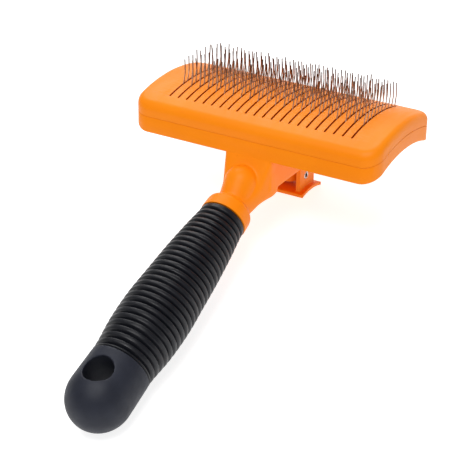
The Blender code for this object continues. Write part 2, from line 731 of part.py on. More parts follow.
def add_rubber_grip(stand, material):
    """Sleeve over the tang, with a solid rounded end that the hang hole goes through."""
    steps = 18
    bore = TANG_RADIUS + GAP
    bottom = TANG_LENGTH + GAP
    profile = [(bottom, 0.0), (bottom, bore), (GAP, bore)]
    profile += [(max(GAP, RIBBED_LENGTH * i / steps), grip_radius(RIBBED_LENGTH * i / steps))
                for i in range(steps + 1)]
    end_centre = GRIP_LENGTH - GRIP_END_LENGTH
    for i in range(9):
        angle = math.pi / 2 * i / 8
        radius = GRIP_END_RADIUS * math.cos(angle) if i < 8 else 0.0
        profile.append((end_centre + GRIP_END_LENGTH * math.sin(angle), radius))
    grip = add_object("rubber_grip", turned(profile, handle_axes(), 32), stand, material, round_shape=True)
    hole_axes = Matrix.Translation(handle_axes() @ Vector((0.0, 0.0, HANG_HOLE_PLACE)))
    hole_axes @= Matrix.Rotation(HANDLE_TILT, 4, "X")
    hole = turned(rod(HANG_HOLE_RADIUS, (-20.0 * MM, 20.0 * MM)), hole_axes)
    cut(grip, add_guide("hang_hole", hole, stand))


# ---------------------------------------------------------------- stand

def rest_tilt():
    """Angle that brings the handle's end as low as the button's rear edge."""
    end = handle_axes() @ Vector((0.0, 0.0, GRIP_LENGTH - GRIP_END_LENGTH))
    button_z = BUTTON_CROWN_Z - BUTTON_ARC + math.sqrt(BUTTON_ARC ** 2 - (BUTTON_REAR - BUTTON_CROWN_Y) ** 2)
    run = BUTTON_REAR - end.y
    fall = button_z - end.z
    return -math.atan2(fall, run) - math.asin(GRIP_END_RADIUS / math.hypot(run, fall))


def lay_on_stand(stand):
    """Turns the brush onto its back and sets the origin under the middle of it."""
    stand.rotation_euler = (rest_tilt(), 0.0, 0.0)
    bpy.context.view_layer.update()
    graph = bpy.context.evaluated_depsgraph_get()
    lows, highs = [], []
    for obj in stand.children:
        if obj.hide_render:
            continue
        solid = obj.evaluated_get(graph)
        corners = [solid.matrix_world @ vertex.co for vertex in solid.to_mesh().vertices]
        lows.append([min(corner[i] for corner in corners) for i in range(3)])
        highs.append([max(corner[i] for corner in corners) for i in range(3)])
        solid.to_mesh_clear()
    low = [min(values) for values in zip(*lows)]
    high = [max(values) for values in zip(*highs)]
    stand.location = (-(low[0] + high[0]) / 2, -(low[1] + high[1]) / 2, -low[2])


def build():
    clear_scene()
    stand = bpy.data.objects.new("brush_stand", None)
    bpy.context.scene.collection.objects.link(stand)
    orange = make_material("orange_plastic", ORANGE, 0.38)
    inner_plastic = make_material("inner_plastic", (0.35, 0.12, 0.035, 1.0), 0.5)
    backing = make_material("backing_rubber", (0.03, 0.03, 0.03, 1.0), 0.8)
    grip = make_material("grip_rubber", (0.018, 0.019, 0.023, 1.0), 0.6)
    pins = make_material("pin_wire", (0.33, 0.28, 0.25, 1.0), 0.35, 1.0)
    steel = make_material("bright_steel", (0.62, 0.62, 0.62, 1.0), 0.28, 1.0)
    add_back_shell(stand, orange)
    add_face_plate(stand, orange)
    add_pin_carrier(stand, inner_plastic)
    add_pin_backing(stand, backing)
    add_pin_columns(stand, pins)
    add_screws(stand, steel)
    add_housing_cover(stand, orange)
    add_lifter(stand, orange)
    add_return_spring(stand, steel)
    add_thumb_button(stand, orange)
    add_cross_pin(stand, steel)
    add_rubber_grip(stand, grip)
    lay_on_stand(stand)


build()
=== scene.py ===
"""Looks of a self-cleaning slicker brush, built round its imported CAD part.

The fine pieces repeat the part's driving dimensions and are modelled in the head's own axes:
origin at the crown of the arched face, +X along the head, +Y away from the handle, +Z along
the pins. head_axes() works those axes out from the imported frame, and place() moves a piece
into it. The camera, lights and floor come last.
"""

import json
import math
import random

import bmesh
import bpy
from mathutils import Matrix, Vector


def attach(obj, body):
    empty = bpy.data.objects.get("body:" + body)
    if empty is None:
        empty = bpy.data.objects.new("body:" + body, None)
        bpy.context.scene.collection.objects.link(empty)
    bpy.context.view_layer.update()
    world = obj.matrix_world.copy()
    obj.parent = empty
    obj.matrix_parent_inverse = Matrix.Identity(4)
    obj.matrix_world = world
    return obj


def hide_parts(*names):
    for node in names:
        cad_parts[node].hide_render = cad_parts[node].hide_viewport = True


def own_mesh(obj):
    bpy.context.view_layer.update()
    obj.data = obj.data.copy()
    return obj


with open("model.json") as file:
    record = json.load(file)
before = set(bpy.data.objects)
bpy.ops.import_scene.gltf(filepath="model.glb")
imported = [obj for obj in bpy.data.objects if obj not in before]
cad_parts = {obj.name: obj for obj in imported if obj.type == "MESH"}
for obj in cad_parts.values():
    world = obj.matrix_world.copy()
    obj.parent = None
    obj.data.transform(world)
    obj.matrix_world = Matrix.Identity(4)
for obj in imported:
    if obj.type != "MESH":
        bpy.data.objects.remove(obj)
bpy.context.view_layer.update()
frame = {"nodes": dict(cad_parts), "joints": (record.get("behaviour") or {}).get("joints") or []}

MM = 0.001
GAP = 0.3 * MM              # room left between pieces that touch or slide

# Head: layers are heights above the crown of the arch, measured along its radius
ARCH_RADIUS = 86.7 * MM
HEAD_HALF_LENGTH = 59.2 * MM
HEAD_FRONT = -28.7 * MM
HEAD_REAR = 29.2 * MM
HEAD_CORNER = 8.0 * MM
HEAD_WALL = 2.0 * MM
EDGE_FILLET = 3.2 * MM
PLATE_THICKNESS = 2.2 * MM
PARTING_HEIGHT = -5.8 * MM
PARTING_EDGE = 0.08 * MM    # rounding of the two edges of the parting line
PARTING_GAP = 0.12 * MM
FLOOR_TOP = -10.0 * MM
HEAD_BOTTOM = -13.1 * MM
HEAD_BOTTOM_FILLET = 1.0 * MM
UNDERSIDE_RISE = 0.9 * MM   # how much higher the middle of the underside is than a plain arch
JOINING_HEIGHT = HEAD_BOTTOM + 1.1 * MM     # inside the tray's floor, where shapes below it end

# Pins
SLOT_COUNT = 22
SLOT_PITCH = 4.2 * MM
SLOT_WIDTH = 0.85 * MM
SLOT_FLARE = 0.06 * MM      # rounding of a slot's upper edge
SLOT_FRONT = -20.8 * MM
SLOT_REAR = 23.7 * MM
PIN_ROWS = 10
PIN_FIRST_ROW = -9.4 * MM
PIN_ROW_PITCH = 3.42 * MM
PIN_WIRE_RADIUS = 0.25 * MM
PIN_LEAN = math.radians(16)
PIN_TOP_LEAN = math.radians(-4)
PIN_LEAN_ERROR = (-3.5, 3.0)        # degrees that one pin differs from the rest
PIN_TOP_LEAN_ERROR = (-7.0, 7.0)
PIN_SWAY = 0.012                    # greatest sideways slope of a pin below its knee
PIN_TOP_SWAY = 0.022
PIN_SHORTER_BELOW = (0.0, 0.5)      # millimetres that a pin may be short of its length
PIN_SHORTER_ABOVE = (0.05, 1.5)
PIN_SEED = 11
WIRE_SIDES = 8
PIN_LOWER_LENGTH = 5.0 * MM
PIN_UPPER_LENGTH = 7.0 * MM
BRIDGE_HEIGHT = -8.1 * MM
KNEE_RADIUS = 0.9 * MM

# Housing, its cover and the lifter
HOUSING_HALF_WIDTH = 11.3 * MM
HOUSING_REAR = 29.0 * MM
HOUSING_BOTTOM = -32.5 * MM
HOUSING_WALL = 1.4 * MM
HOUSING_ROOF = HEAD_BOTTOM + UNDERSIDE_RISE
HOUSING_PROUD = 0.03 * MM   # keeps the housing's front off the tray's front face
COVER_TOP = -30.0 * MM
COVER_BOTTOM = -32.2 * MM
COUNTERBORE_DEPTH = 1.3 * MM
COUNTERBORE_RADIUS = 1.7 * MM
COVER_SCREW_HOLE = 1.1 * MM
BOSS_ROWS = (-18.0 * MM, 21.2 * MM)
BOSS_X = 7.3 * MM
BOSS_WIDTH = 4.0 * MM
LIFT_LEG_HALF_WIDTH = 7.0 * MM
LIFT_LEG_THICKNESS = 2.6 * MM
LIFT_LEG_BOTTOM = -29.6 * MM
LEG_OPENING_HALF_WIDTH = 7.6 * MM
LEG_OPENING_INNER = 20.0 * MM
LEG_OPENING_HEIGHTS = (-22.0 * MM, -8.0 * MM)
BAR_TOP = -25.4 * MM
BAR_BOTTOM = -27.8 * MM
BAR_HALF_WIDTH = 4.8 * MM
STEM_Y = 10.2 * MM
STEM_RADIUS = 4.7 * MM
STEM_BORE = 3.9 * MM
STEM_BORE_BOTTOM = -36.2 * MM
STEM_BOTTOM = -43.0 * MM
SPRING_RADIUS = 3.1 * MM
SPRING_WIRE = 0.4 * MM
SPRING_TURNS = 8
SPRING_STEPS = 28           # steps in one turn
SPRING_SEAT = -14.4 * MM
SEAT_RADIUS = 4.6 * MM
SEAT_TOP = -12.0 * MM
STUD_LENGTH = 3.5 * MM      # stud below the seat, inside the spring
CARRIER_SCREW_X = 47.6 * MM
CARRIER_SCREW_ROWS = (-8.5 * MM, 19.0 * MM)
CARRIER_SCREW_HOLE = 1.3 * MM

# Thumb button and the hollow pin through it
BUTTON_HALF_WIDTH = 10.5 * MM
BUTTON_FRONT = 3.1 * MM
BUTTON_REAR = 21.2 * MM
BUTTON_CROWN_Y = 11.5 * MM
BUTTON_CROWN_Z = -46.8 * MM
BUTTON_ARC = 29.0 * MM
BUTTON_THICKNESS = 1.6 * MM
BUTTON_LEG_INNER = 6.3 * MM
BUTTON_LEG_OUTER = 8.4 * MM
BUTTON_LEG_FRONT = 4.2 * MM
BUTTON_LEG_REAR = 18.0 * MM
BUTTON_LEG_TOP = -29.6 * MM
CROSS_PIN_Z = -39.7 * MM
CROSS_PIN_RADIUS = 1.8 * MM
CROSS_PIN_BORE = 1.05 * MM
CROSS_PIN_HALF_LENGTH = 8.5 * MM

# Handle: distances along its axis from the collar's end face
HANDLE_START = Vector((0.0, -49.26 * MM, -39.4 * MM))
HANDLE_TILT = math.radians(22.1)
WAIST_PLACE = -8.0 * MM
WAIST_RADIUS = 7.4 * MM
# Place and radius of the collar's outline, in millimetres
COLLAR_FLARE = ((-9.5, 7.2), (-8.3, 7.7), (-7.3, 8.7), (-6.5, 9.6), (-5.6, 10.2), (-3.0, 10.4),
                (-0.4, 10.5), (0.5, 10.5))
BALL_CENTRE = Vector((0.0, -34.2 * MM, -27.8 * MM))
BALL_RADIUS = 7.3 * MM
ROOT_RADIUS = 6.6 * MM      # of the ball's root, where it goes into the collar
TANG_RADIUS = 6.4 * MM
TANG_LENGTH = 84.0 * MM
RIBBED_LENGTH = 82.4 * MM
FIRST_BAND = 3.4 * MM       # plain band between the collar and the first groove
RIB_COUNT = 26
RIB_DEPTH = 1.3 * MM
GROOVE_SHARPNESS = 7        # higher makes the grooves narrower against the ribs
SLEEVE_EDGE = 0.3 * MM
GRIP_RADII = tuple(r * MM for r in (10.2, 11.8, 13.1, 14.0, 14.8, 14.5, 13.15))
GRIP_LENGTH = 113.6 * MM
GRIP_END_RADIUS = 13.5 * MM
GRIP_END_LENGTH = 14.3 * MM
HANG_HOLE_RADIUS = 6.2 * MM
HANG_HOLE_PLACE = 95.0 * MM

# Mesh steps
ROW_STEP = 1.5 * MM
CORNER_STEPS = 12
FILLET_STEPS = 8
ROUND_STEPS = 48
FINE_STEPS = 96
HOLE_STEPS = 24
SCREW_STEPS = 32
CAP_STEPS = 128
GRIP_STEPS = 144
SMOOTH_ANGLE = math.radians(38)

# Colours: a pair is the two tones that a material varies between
ORANGE = ((0.90, 0.228, 0.0010), (0.93, 0.250, 0.0020))
ORANGE_SPECKLE = (0.80, 0.15, 0.003)
# painted shade: the colour that the walls of the slots are darkened towards, in place of the shade
# that falls in them
SLOT_PAINTED_SHADE = (0.50, 0.060, 0.002)
# painted highlight: the lower tones are bright glints painted on the pins near the plate; the upper
# tones make the tips darker
WIRE_LOWER_GLINT = ((0.34, 0.20, 0.13), (0.90, 0.76, 0.64))
WIRE_UPPER = ((0.11, 0.058, 0.036), (0.30, 0.18, 0.122))
STEEL = ((0.52, 0.51, 0.50), (0.78, 0.77, 0.76))
RIBBED_RUBBER = ((0.0036, 0.0042, 0.0070), (0.0066, 0.0072, 0.0108))
SMOOTH_RUBBER = ((0.0102, 0.0122, 0.0215), (0.0162, 0.0190, 0.0315))
# the carrier's own colour is a guess, and its darkness also paints the shade seen through the slots
CARRIER_PLASTIC = ((0.13, 0.032, 0.008), (0.19, 0.048, 0.012))
BACKING_RUBBER = ((0.022, 0.022, 0.024), (0.045, 0.044, 0.042))
FLOOR = ((0.50, 0.50, 0.50), (0.52, 0.52, 0.52))
MIDDLE = (0.3, 0.7)         # the range that most of a noise texture's values lie in
WHOLE = (0.0, 1.0)

# Studio: positions in metres, power in watts
KEY_PLACE, KEY_SIZE, KEY_POWER = (0.15, -0.35, 1.25), 0.6, 12.0
FILL_PLACE, FILL_SIZE, FILL_POWER = (-0.55, 0.95, 0.85), 0.9, 9.0
LIGHT_TARGET = Vector((0.0, 0.0, 0.03))
WORLD_STRENGTH = 0.31
FLOOR_GLOW = 0.82
FLOOR_SIZE = 12.0

# Camera, about the head's axes
CAMERA_TARGET = Vector((-2.35 * MM, -33.64 * MM, -54.36 * MM))
CAMERA_DISTANCE = 659.0 * MM
CAMERA_AZIMUTH = math.radians(29.63)
CAMERA_ELEVATION = math.radians(26.87)
CAMERA_ROLL = math.radians(1.016)
CAMERA_LENS = 116.1


# ---------------------------------------------------------------- the head's axes

def head_axes():
    """Matrix from the head's axes to the row frame, from the sliding joint and the face plate."""
    up = Vector(frame["joints"][0]["axis"]).normalized()
    along = Vector((1.0, 0.0, 0.0))
    turn = Matrix((along, up.cross(along), up)).transposed()
    vertices = frame["nodes"]["face_plate"].data.vertices
    points = [turn.transposed() @ vertex.co for vertex in vertices]
    origin_y = min(point.y for point in points) - HEAD_FRONT
    rises = [point.z + ARCH_RADIUS - math.sqrt(ARCH_RADIUS ** 2 - (point.y - origin_y) ** 2)
             for point in points]
    origin = turn @ Vector((0.0, origin_y, max(rises)))
    return Matrix.Translation(origin) @ turn.to_4x4()


HEAD = head_axes()


def handle_axes():
    """Z runs down the handle from the end face of the collar."""
    return Matrix.Translation(HANDLE_START) @ Matrix.Rotation(math.pi / 2 + HANDLE_TILT, 4, "X")


def upright(x, y):
    """Axes of a turned shape whose axis is parallel to the pins."""
    return Matrix.Translation((x, y, 0.0))


def across(y, z):
    """Axes of a turned shape whose axis is parallel to the head's length."""
    return Matrix.Translation((0.0, y, z)) @ Matrix.Rotation(math.pi / 2, 4, "Y")


# ---------------------------------------------------------------- mesh helpers

def spline(values, position):
    """Smooth curve through values, which are numbers or vectors, at a position counted in them."""
    i = min(int(position), len(values) - 2)
    t = position - i
    before = values[max(i - 1, 0)]
    a, b = values[i], values[i + 1]
    after = values[min(i + 2, len(values) - 1)]
    return 0.5 * (2 * a + (b - before) * t + (2 * before - 5 * a + 4 * b - after) * t ** 2
                  + (3 * a - before - 3 * b + after) * t ** 3)


def solid(name, builder):
    """An object in the head's axes from a bmesh, with its faces pointing out."""
    bmesh.ops.recalc_face_normals(builder, faces=builder.faces)
    mesh = bpy.data.meshes.new(name)
    builder.to_mesh(mesh)
    builder.free()
    obj = bpy.data.objects.new(name, mesh)
    bpy.context.scene.collection.objects.link(obj)
    return obj


def apply_modifiers(obj):
    """Replaces the object's mesh by the result of its modifiers."""
    graph = bpy.context.evaluated_depsgraph_get()
    mesh = bpy.data.meshes.new_from_object(obj.evaluated_get(graph))
    obj.modifiers.clear()
    rough = obj.data
    obj.data = mesh
    bpy.data.meshes.remove(rough)


def combine(obj, operation, builder):
    """Joins or cuts obj with the closed shapes of a bmesh."""
    guide = solid("guide", builder)
    modifier = obj.modifiers.new(operation, "BOOLEAN")
    modifier.operation = operation
    modifier.solver = "EXACT"
    modifier.object = guide
    apply_modifiers(obj)
    bpy.data.objects.remove(guide, do_unlink=True)


def soften(obj, voxel, rounds):
    """Turns overlapping shapes into one even skin with rounded edges."""
    skin = obj.modifiers.new("skin", "REMESH")
    skin.mode = "VOXEL"
    skin.voxel_size = voxel
    relax = obj.modifiers.new("relax", "SMOOTH")
    relax.factor = 0.5
    relax.iterations = rounds
    apply_modifiers(obj)


def place(obj, material, body, slot, *nodes):
    """Moves a finished piece into the frame, hangs it on the body that it rides on and hides the CAD
    nodes that it stands for.
    """
    obj.data.transform(HEAD)
    obj.data.shade_smooth()
    obj.data.set_sharp_from_angle(angle=SMOOTH_ANGLE)
    obj.data.materials.clear()
    obj.data.materials.append(material)
    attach(obj, body)
    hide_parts(*nodes)


def add_box(builder, x_range, y_range, z_range):
    corners = [builder.verts.new((x, y, z)) for z in z_range for y in y_range for x in x_range]
    for face in ((0, 1, 3, 2), (4, 6, 7, 5), (0, 4, 5, 1),
                 (2, 3, 7, 6), (0, 2, 6, 4), (1, 5, 7, 3)):
        builder.faces.new([corners[i] for i in face])


def boxes(*ranges):
    builder = bmesh.new()
    for x_range, y_range, z_range in ranges:
        add_box(builder, x_range, y_range, z_range)
    return builder


def mirrored_boxes(x_range, y_range, z_range):
    """The same box on both sides of the brush."""
    left = (-x_range[1], -x_range[0])
    return boxes((x_range, y_range, z_range), (left, y_range, z_range))


def bridge_rings(builder, rings):
    """Faces between neighbouring rings, where a ring of one vertex is a point."""
    for first, second in zip(rings, rings[1:]):
        steps = max(len(first), len(second))
        for i in range(steps):
            corners = [first[i % len(first)], first[(i + 1) % len(first)],
                       second[(i + 1) % len(second)], second[i % len(second)]]
            builder.faces.new(list(dict.fromkeys(corners)))


def add_ring(builder, axes, place_along, radius, steps):
    """A circle about the axes' Z, or one vertex on it where the radius is zero."""
    if radius == 0.0:
        return [builder.verts.new(axes @ Vector((0.0, 0.0, place_along)))]
    return [builder.verts.new(axes @ Vector((radius * math.cos(math.tau * i / steps),
                                             radius * math.sin(math.tau * i / steps), place_along)))
            for i in range(steps)]


def add_turned(builder, profile, axes, steps=ROUND_STEPS):
    """A closed solid of revolution: profile is (place along the axis, radius) from end to end."""
    bridge_rings(builder, [add_ring(builder, axes, *point, steps) for point in profile])


def turned(profile, axes, steps=ROUND_STEPS):
    builder = bmesh.new()
    add_turned(builder, profile, axes, steps)
    return builder


def rod(radius, z_range):
    """Profile of a plain cylinder."""
    return [(z_range[0], 0.0), (z_range[0], radius), (z_range[1], radius), (z_range[1], 0.0)]


# ---------------------------------------------------------------- arched layers

def arch_z(y, height):
    return math.sqrt((ARCH_RADIUS + height) ** 2 - y * y) - ARCH_RADIUS


def arched(height):
    return lambda y: arch_z(y, height)


def underside(height):
    """The arch of the head's underside, hollowed a little in the middle."""
    return lambda y: arch_z(y, height) + UNDERSIDE_RISE * (1.0 - (y / HEAD_REAR) ** 4)


def flat(z):
    return lambda y: z


def side_points(outline, inset, row_step):
    """Right-hand side of a rounded rectangle, from its front to its rear, as (x, y)."""
    half_length, front, rear, corner = outline
    radius = corner - inset
    centre_x = half_length - corner
    points = []
    for centre_y, start in ((front + corner, -90.0), (rear - corner, 0.0)):
        for i in range(CORNER_STEPS + 1):
            angle = math.radians(start + 90.0 * i / CORNER_STEPS)
            points.append((centre_x + radius * math.cos(angle),
                           centre_y + radius * math.sin(angle)))
        if start < 0.0:
            span = rear - front - 2.0 * corner
            rows = max(1, round(span / row_step))
            points += [(half_length - inset, front + corner + span * i / rows)
                       for i in range(1, rows)]
    return points


def add_layered(builder, outline, levels, row_step=ROW_STEP, middle=0.0):
    """A solid stacked from rounded rectangles: levels are (inset, surface), first cap to last."""
    rings = []
    for inset, surface in levels:
        side = side_points(outline, inset, row_step)
        rings.append([[builder.verts.new((middle + sign * x, y, surface(y))) for x, y in side]
                      for sign in (1.0, -1.0)])
    for right, left in (rings[0], rings[-1]):
        for i in range(len(right) - 1):
            builder.faces.new((right[i], right[i + 1], left[i + 1], left[i]))
    for lower, upper in zip(rings, rings[1:]):
        for below, above in zip(lower, upper):
            for i in range(len(below) - 1):
                builder.faces.new((below[i], below[i + 1], above[i + 1], above[i]))
        for i in (0, -1):
            builder.faces.new((lower[0][i], lower[1][i], upper[1][i], upper[0][i]))


def layered(outline, levels, row_step=ROW_STEP):
    builder = bmesh.new()
    add_layered(builder, outline, levels, row_step)
    return builder


def rounded_top(radius, height, surface=arched):
    """Levels of a rounded edge that ends on the layer at this height."""
    levels = []
    for i in range(FILLET_STEPS + 1):
        angle = math.pi / 2 * i / FILLET_STEPS
        levels.append((radius * (1.0 - math.cos(angle)),
                       surface(height - radius * (1.0 - math.sin(angle)))))
    return levels


def rounded_bottom(radius, height, surface=arched):
    """Levels of a rounded edge that starts on the layer at this height."""
    levels = []
    for i in range(FILLET_STEPS + 1):
        angle = math.pi / 2 * (1.0 - i / FILLET_STEPS)
        levels.append((radius * (1.0 - math.cos(angle)),
                       surface(height + radius * (1.0 - math.sin(angle)))))
    return levels


def head_outline():
    return HEAD_HALF_LENGTH, HEAD_FRONT, HEAD_REAR, HEAD_CORNER


def column_x(column):
    return (column - (SLOT_COUNT - 1) / 2) * SLOT_PITCH


# ---------------------------------------------------------------- materials

def new_material(name, roughness=0.5, metallic=0.0):
    material = bpy.data.materials.new(name)
    material.use_nodes = True
    shader = material.node_tree.nodes["Principled BSDF"]
    shader.inputs["Roughness"].default_value = roughness
    shader.inputs["Metallic"].default_value = metallic
    return material, material.node_tree, shader


def noise(tree, scale, detail=2.0, stretch=(1.0, 1.0, 1.0)):
    """Noise over the piece's own coordinates, with its scale in features per metre."""
    coordinates = tree.nodes.new("ShaderNodeTexCoord")
    mapping = tree.nodes.new("ShaderNodeMapping")
    mapping.inputs["Scale"].default_value = stretch
    texture = tree.nodes.new("ShaderNodeTexNoise")
    texture.inputs["Scale"].default_value = scale
    texture.inputs["Detail"].default_value = detail
    tree.links.new(coordinates.outputs["Object"], mapping.inputs["Vector"])
    tree.links.new(mapping.outputs["Vector"], texture.inputs["Vector"])
    return texture.outputs["Fac"]


def remap(tree, value, source, target):
    """Value with the range source stretched to target."""
    node = tree.nodes.new("ShaderNodeMapRange")
    for name, number in zip(("From Min", "From Max", "To Min", "To Max"), source + target):
        node.inputs[name].default_value = number
    tree.links.new(value, node.inputs["Value"])
    return node.outputs["Result"]


def blend_colours(tree, factor, first, second):
    """Mix of two colours, each given as numbers or as another node's output."""
    node = tree.nodes.new("ShaderNodeMix")
    node.data_type = "RGBA"
    tree.links.new(factor, node.inputs["Factor"])
    for socket, colour in (("A", first), ("B", second)):
        target = [s for s in node.inputs if s.name == socket and s.type == "RGBA"][0]
        if isinstance(colour, tuple):
            target.default_value = (*colour, 1.0)
        else:
            tree.links.new(colour, target)
    return [s for s in node.outputs if s.type == "RGBA"][0]


def bump(tree, shader, *layers):
    """Bump from layers of (height, distance in metres)."""
    normal = None
    for height, distance in layers:
        node = tree.nodes.new("ShaderNodeBump")
        node.inputs["Strength"].default_value = 1.0
        node.inputs["Distance"].default_value = distance
        tree.links.new(height, node.inputs["Height"])
        if normal:
            tree.links.new(normal, node.inputs["Normal"])
        normal = node.outputs["Normal"]
    tree.links.new(normal, shader.inputs["Normal"])


def orange_plastic():
    """Satin moulded plastic: flow marks, a fine grain, scuffs and painted shade in marked recesses.
    """
    material, tree, shader = new_material("orange_plastic")
    flow = remap(tree, noise(tree, 38.0, 3.0), MIDDLE, WHOLE)
    base = blend_colours(tree, flow, *ORANGE)
    speckle = remap(tree, noise(tree, 900.0, 2.0), (0.70, 0.78), (0.0, 0.35))
    surface = blend_colours(tree, speckle, base, ORANGE_SPECKLE)
    # painted shade: the marked slot walls are darkened towards the slot shade colour
    recess = tree.nodes.new("ShaderNodeAttribute")
    recess.attribute_name = "recess"
    shaded_slots = blend_colours(tree, recess.outputs["Fac"], surface, SLOT_PAINTED_SHADE)
    tree.links.new(shaded_slots, shader.inputs["Base Color"])
    scuff = noise(tree, 420.0, 4.0, (1.0, 0.12, 0.5))
    tree.links.new(remap(tree, scuff, (0.35, 0.75), (0.40, 0.52)), shader.inputs["Roughness"])
    shader.inputs["IOR"].default_value = 1.46
    shader.inputs["Specular IOR Level"].default_value = 0.26
    shader.inputs["Specular Tint"].default_value = (1.0, 0.88, 0.72, 1.0)
    bump(tree, shader, (noise(tree, 2600.0, 2.0), 0.000012), (noise(tree, 180.0, 1.0), 0.00004))
    return material


def rubber(name, colours, roughness, grain):
    """Moulded rubber: dusty colour patches, a fine grain and uneven sheen."""
    material, tree, shader = new_material(name)
    dust = remap(tree, noise(tree, 120.0, 5.0), (0.35, 0.75), WHOLE)
    tree.links.new(blend_colours(tree, dust, *colours), shader.inputs["Base Color"])
    patches = noise(tree, 260.0, 3.0)
    tree.links.new(remap(tree, patches, MIDDLE, roughness), shader.inputs["Roughness"])
    shader.inputs["Specular IOR Level"].default_value = 0.30
    bump(tree, shader, (noise(tree, 3200.0, 3.0), grain), (noise(tree, 320.0, 2.0), 0.00005))
    return material


def pin_wire():
    """Drawn wire: painted glints make it bright near the plate, and it is darker towards the tips."""
    material, tree, shader = new_material("pin_wire", metallic=1.0)
    height = tree.nodes.new("ShaderNodeAttribute")
    height.attribute_name = "wire_height"
    share = remap(tree, height.outputs["Fac"], (0.25, 0.7), WHOLE)
    streak = remap(tree, noise(tree, 900.0, 2.0, (1.0, 1.0, 0.3)), MIDDLE, WHOLE)
    # painted highlight: glints painted on the lower part of each pin
    lower = blend_colours(tree, streak, *WIRE_LOWER_GLINT)
    upper = blend_colours(tree, streak, *WIRE_UPPER)
    tree.links.new(blend_colours(tree, share, lower, upper), shader.inputs["Base Color"])
    tree.links.new(remap(tree, streak, WHOLE, (0.22, 0.42)), shader.inputs["Roughness"])
    bump(tree, shader, (noise(tree, 2500.0, 1.0, (1.0, 1.0, 0.15)), 0.00001))
    return material


def bright_steel():
    """Plated steel with fine turning marks and slightly dull patches."""
    material, tree, shader = new_material("bright_steel", metallic=1.0)
    patches = noise(tree, 700.0, 3.0)
    tree.links.new(blend_colours(tree, patches, *STEEL), shader.inputs["Base Color"])
    tree.links.new(remap(tree, patches, MIDDLE, (0.16, 0.34)), shader.inputs["Roughness"])
    bump(tree, shader, (noise(tree, 6000.0, 1.0, (0.1, 1.0, 1.0)), 0.000006))
    return material


def plain_moulding(name, colours, roughness):
    """Unpainted moulding or sheet that is seen only from below or through the slots."""
    material, tree, shader = new_material(name)
    cloud = remap(tree, noise(tree, 90.0, 4.0), MIDDLE, WHOLE)
    tree.links.new(blend_colours(tree, cloud, *colours), shader.inputs["Base Color"])
    dullness = remap(tree, noise(tree, 400.0, 3.0), MIDDLE, roughness)
    tree.links.new(dullness, shader.inputs["Roughness"])
    bump(tree, shader, (noise(tree, 2000.0, 2.0), 0.00002))
    return material


# ---------------------------------------------------------------- back shell

def neck_sections():
    """Sections of the neck, each as top point, bottom point, half width and squareness."""
    waist = handle_axes() @ Vector((0.0, 0.0, WAIST_PLACE))
    up = Vector((0.0, -math.sin(HANDLE_TILT), math.cos(HANDLE_TILT)))
    return (
        (Vector((0, -27.4, -15.0)) * MM, Vector((0, -21.0, -35.6)) * MM, 11.3 * MM, 9.0),
        (Vector((0, -28.8, -18.0)) * MM, Vector((0, -24.5, -36.2)) * MM, 11.3 * MM, 9.0),
        (Vector((0, -31.4, -22.4)) * MM, Vector((0, -29.0, -37.0)) * MM, 10.3 * MM, 6.0),
        (Vector((0, -34.2, -26.6)) * MM, Vector((0, -33.0, -38.6)) * MM, 9.2 * MM, 3.6),
        (Vector((0, -38.8, -28.9)) * MM, Vector((0, -36.6, -41.4)) * MM, 8.1 * MM, 2.5),
        (waist + up * WAIST_RADIUS, waist - up * WAIST_RADIUS, WAIST_RADIUS, 2.0),
    )


def neck():
    """Smooth loft through the neck's sections."""
    tops, bottoms, half_widths, squarenesses = zip(*neck_sections())
    steps = 6 * (len(tops) - 1)
    builder = bmesh.new()
    rings = []
    for step in range(steps + 1):
        position = (len(tops) - 1) * step / steps
        top, bottom = spline(tops, position), spline(bottoms, position)
        half_width, power = spline(half_widths, position), 2 / spline(squarenesses, position)
        centre, up = (top + bottom) / 2, (top - bottom) / 2
        ring = []
        for i in range(2 * ROUND_STEPS):
            angle = math.tau * (i + 0.5) / (2 * ROUND_STEPS)
            side, rise = math.cos(angle), math.sin(angle)
            x = math.copysign(abs(side) ** power, side) * half_width
            lift = math.copysign(abs(rise) ** power, rise)
            ring.append(builder.verts.new(centre + up * lift + Vector((x, 0.0, 0.0))))
        rings.append(ring)
    bridge_rings(builder, rings)
    for ring in (rings[0], rings[-1]):
        builder.faces.new(ring)
    return builder


def collar():
    """Band at the top of the handle, flaring out from the waist."""
    places, radii = zip(*COLLAR_FLARE)
    count = 6 * (len(places) - 1)
    flare = [(spline(places, i / 6) * MM, spline(radii, i / 6) * MM) for i in range(count + 1)]
    profile = [(flare[0][0], 0.0)] + flare + [(flare[-1][0], 0.0)]
    return turned(profile, handle_axes(), FINE_STEPS)


def ball():
    """Ball on the neck, drawn out to a root that runs into the collar."""
    waist = handle_axes() @ Vector((0.0, 0.0, WAIST_PLACE))
    span = waist - BALL_CENTRE
    axes = Matrix.Translation(BALL_CENTRE) @ span.to_track_quat("Z", "Y").to_matrix().to_4x4()
    steps = 24
    profile = [(-BALL_RADIUS, 0.0)]
    for i in range(1, steps + 1):
        angle = math.pi / 2 * i / steps
        profile.append((-BALL_RADIUS * math.cos(angle), BALL_RADIUS * math.sin(angle)))
    profile += [(span.length, ROOT_RADIUS), (span.length, 0.0)]
    return turned(profile, axes, FINE_STEPS)


def housing_block():
    """Outer shape of the housing, its front a hair proud of the tray's front wall."""
    front = HEAD_FRONT - HOUSING_PROUD
    return layered((HOUSING_HALF_WIDTH, front, HOUSING_REAR, 0.8 * MM), [
        (0.6 * MM, flat(HOUSING_BOTTOM)), (0.0, flat(HOUSING_BOTTOM + 0.6 * MM)),
        (0.0, arched(JOINING_HEIGHT))])


def cover_bosses():
    """Blocks beside the housing's walls that take the cover's screws."""
    builder = bmesh.new()
    outer = HOUSING_HALF_WIDTH - 1.0 * MM
    for y in BOSS_ROWS:
        y_range = (y - BOSS_WIDTH / 2, y + BOSS_WIDTH / 2)
        z_range = (COVER_TOP + GAP, arch_z(y, JOINING_HEIGHT))
        for x_range in ((BOSS_X - 1.9 * MM, outer), (-outer, 1.9 * MM - BOSS_X)):
            add_box(builder, x_range, y_range, z_range)
    return builder


